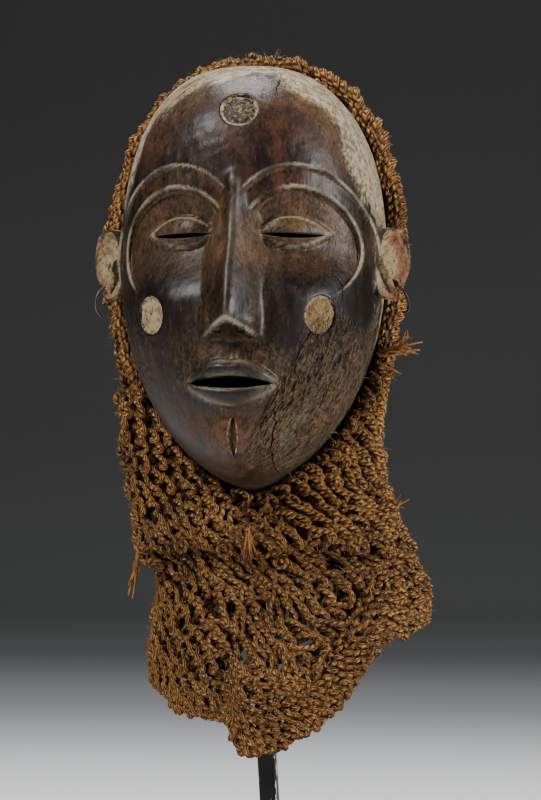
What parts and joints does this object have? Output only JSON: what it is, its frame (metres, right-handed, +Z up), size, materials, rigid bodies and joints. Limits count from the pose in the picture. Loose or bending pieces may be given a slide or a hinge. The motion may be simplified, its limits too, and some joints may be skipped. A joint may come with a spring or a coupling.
{
  "type": "carved face mask with fibre hood on a stand",
  "caption": "Hollow carved wooden face mask with ears and wire earrings, a knotted fibre hood lashed behind it, on a painted bar and flat foot.",
  "frame": {"origin": "centre of the foot's underside", "axes": "+Z up, the face looks along -Y, +X to the viewer's right"},
  "size_m": [0.1881, 0.1913, 0.4855],
  "materials": {
    "wood": "dark, worn, waxy patina with remnants of pale clay",
    "netting": "coarse knotted plant fibre",
    "wire": "blackened wire",
    "paint": "satin black paint"
  },
  "bodies": {
    "root": {"mask": "wood", "hood": "netting", "earring_right": "wire", "earring_left": "wire", "stand_rod": "paint", "stand_cradle": "paint", "stand_foot": "paint"}
  },
  "joints": []
}
